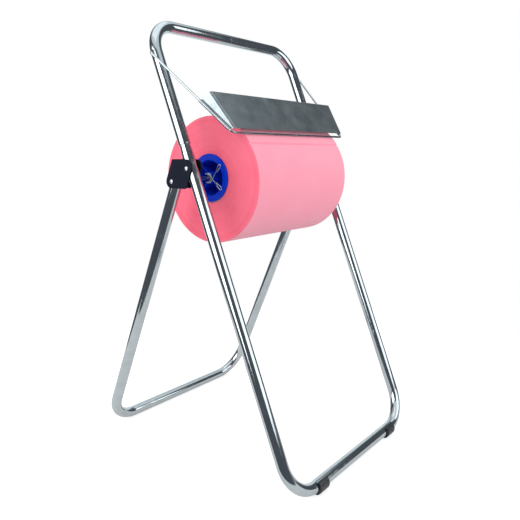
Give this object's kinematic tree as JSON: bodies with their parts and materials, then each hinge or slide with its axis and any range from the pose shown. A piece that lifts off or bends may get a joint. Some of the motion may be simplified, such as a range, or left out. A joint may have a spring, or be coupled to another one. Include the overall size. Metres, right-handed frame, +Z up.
{
  "type": "folding floor stand for a jumbo paper roll",
  "caption": "Folding floor stand of chromed tube that holds a jumbo paper roll on a spindle between its legs, with a hinged tear bar resting on the roll.",
  "frame": {"origin": "on the floor, under the middle of the stand's overall box", "axes": "+Z up, X along the roll, the tear bar and the carrying frame's feet face -Y, the folding legs reach back to +Y"},
  "size_m": [0.52, 0.6036, 0.9624],
  "materials": {
    "chrome_tube": "bright chrome plate on round steel tube",
    "bright_steel": "bright zinc plated wire and rivets",
    "zinc_sheet": "mottled grey galvanised sheet",
    "black_plastic": "fine textured moulding",
    "blue_plastic": "smooth satin moulding",
    "pink_paper": "soft matt creped paper, wound in layers",
    "cardboard": "matt spiral wound board"
  },
  "bodies": {
    "front_frame": {"lower_leg_frame": "chrome_tube", "upper_handle_arch": "chrome_tube", "left_foot_clip": "black_plastic", "right_foot_clip": "black_plastic", "left_pivot_rivet": "bright_steel", "right_pivot_rivet": "bright_steel"},
    "rear_frame": {"rear_leg_frame": "chrome_tube", "left_hinge_bracket": "black_plastic", "right_hinge_bracket": "black_plastic", "left_fixing_rivet": "bright_steel", "right_fixing_rivet": "bright_steel"},
    "spindle": {"roll_spindle": "chrome_tube"},
    "roll": {"cardboard_core": "cardboard", "paper_roll": "pink_paper"},
    "left_cone": {"left_roll_cone": "blue_plastic", "left_spring_clip": "bright_steel"},
    "right_cone": {"right_roll_cone": "blue_plastic", "right_spring_clip": "bright_steel"},
    "bail_bushes": {"left_bail_bush": "bright_steel", "right_bail_bush": "bright_steel"},
    "bail": {"bail_wire": "bright_steel", "tear_plate": "zinc_sheet"}
  },
  "joints": [
    {"name": "frame_fold", "type": "hinge", "parent": "front_frame", "child": "rear_frame", "pos_m": [0, -0.02488, 0.65558], "axis": [-1, 0, 0], "range_deg": [0, 45.75]},
    {"name": "spindle_spin", "type": "hinge", "parent": "rear_frame", "child": "spindle", "pos_m": [0, -0.00637, 0.63398], "axis": [1, 0, 0], "continuous": true},
    {"name": "roll_spin", "type": "hinge", "parent": "rear_frame", "child": "roll", "pos_m": [0, -0.00637, 0.62878], "axis": [1, 0, 0], "continuous": true},
    {"name": "left_cone_slide", "type": "slide", "parent": "spindle", "child": "left_cone", "axis": [-1, 0, 0], "range_m": [0, 0.037]},
    {"name": "right_cone_slide", "type": "slide", "parent": "spindle", "child": "right_cone", "axis": [1, 0, 0], "range_m": [0, 0.037]},
    {"name": "bail_ride", "type": "hinge", "parent": "front_frame", "child": "bail_bushes", "pos_m": [0, 0.06918, 0.88721], "axis": [-1, 0, 0], "range_deg": [0, 3.5]},
    {"name": "bail_swing", "type": "hinge", "parent": "bail_bushes", "child": "bail", "pos_m": [0, 0.06918, 0.88721], "axis": [-1, 0, 0], "range_deg": [0, 295]}
  ],
  "couplings": [
    {"joint": "bail_ride", "follows": "frame_fold", "ratio": 0.075},
    {"joint": "spindle_spin", "follows": "roll_spin", "ratio": 1.1392}
  ]
}
